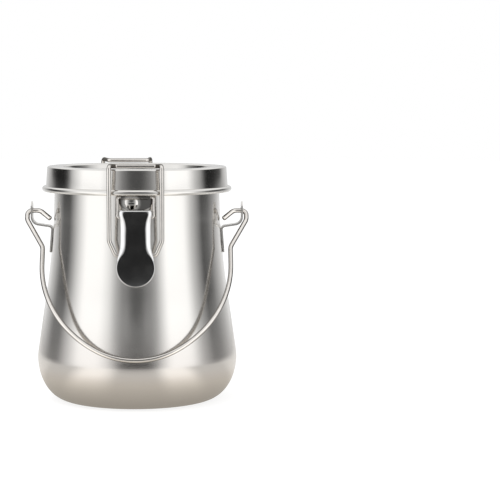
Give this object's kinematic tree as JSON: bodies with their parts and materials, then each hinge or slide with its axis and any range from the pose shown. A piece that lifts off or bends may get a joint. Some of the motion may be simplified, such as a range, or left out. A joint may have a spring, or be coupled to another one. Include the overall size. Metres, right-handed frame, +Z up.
{
  "type": "brush washer",
  "caption": "Lidded stainless steel brush washer pot with clamp clips, a wire carrying handle and a perforated strainer inside.",
  "frame": {"origin": "middle of the pot's flat underside", "axes": "+Z up along the pot's axis; the front clip faces -Y and the handle's pivots lie along X"},
  "size_m": [0.1344, 0.1233, 0.1439],
  "materials": {
    "steel_pot": "polished stainless steel, softer towards the belly",
    "steel_lid": "polished stainless steel",
    "steel_lever": "bright pressed stainless steel",
    "steel_plate": "pressed stainless sheet",
    "steel_wire": "bright drawn stainless wire",
    "gasket": "soft translucent white silicone"
  },
  "bodies": {
    "pot": {"pot_shell": "steel_pot", "front_bracket": "steel_plate", "rear_bracket": "steel_plate", "front_pivot_wire": "steel_wire", "rear_pivot_wire": "steel_wire", "right_ear": "steel_plate", "left_ear": "steel_plate"},
    "lid": {"lid_shell": "steel_lid", "lid_gasket": "gasket"},
    "front_lever": {"front_lever": "steel_lever"},
    "front_bail": {"front_bail": "steel_wire"},
    "rear_lever": {"rear_lever": "steel_lever"},
    "rear_bail": {"rear_bail": "steel_wire"},
    "handle": {"carry_handle": "steel_wire"},
    "strainer": {"strainer_plate": "steel_plate", "strainer_loop": "steel_wire", "strainer_foot_1": "steel_wire", "strainer_foot_2": "steel_wire", "strainer_foot_3": "steel_wire"}
  },
  "joints": [
    {"name": "lid_lift", "type": "slide", "parent": "pot", "child": "lid", "axis": [0, 0, 1], "range_m": [0, 0.03]},
    {"name": "front_lever_turn", "type": "hinge", "parent": "pot", "child": "front_lever", "pos_m": [0, -0.0559, 0.1133], "axis": [-1, 0, 0], "range_deg": [0, 150]},
    {"name": "front_bail_turn", "type": "hinge", "parent": "front_lever", "child": "front_bail", "pos_m": [0, -0.0564, 0.0917], "axis": [1, 0, 0], "range_deg": [0, 330]},
    {"name": "rear_lever_turn", "type": "hinge", "parent": "pot", "child": "rear_lever", "pos_m": [-0.0072, 0.05543, 0.1133], "axis": [0.9917, 0.1288, 0], "range_deg": [0, 150]},
    {"name": "rear_bail_turn", "type": "hinge", "parent": "rear_lever", "child": "rear_bail", "pos_m": [-0.00726, 0.05593, 0.0917], "axis": [-0.9917, -0.1288, 0], "range_deg": [0, 330]},
    {"name": "handle_swing", "type": "hinge", "parent": "pot", "child": "handle", "pos_m": [0, 0, 0.1137], "axis": [-1, 0, 0], "range_deg": [0, 286.6]},
    {"name": "strainer_lift", "type": "slide", "parent": "pot", "child": "strainer", "axis": [0, 0, 1], "range_m": [0, 0.069]}
  ],
  "couplings": [
    {"joint": "front_lever_turn", "follows": "lid_lift", "rad_per_m": 87.266},
    {"joint": "front_bail_turn", "follows": "lid_lift", "rad_per_m": 191.99},
    {"joint": "rear_lever_turn", "follows": "lid_lift", "rad_per_m": 87.266},
    {"joint": "rear_bail_turn", "follows": "lid_lift", "rad_per_m": 191.99}
  ]
}
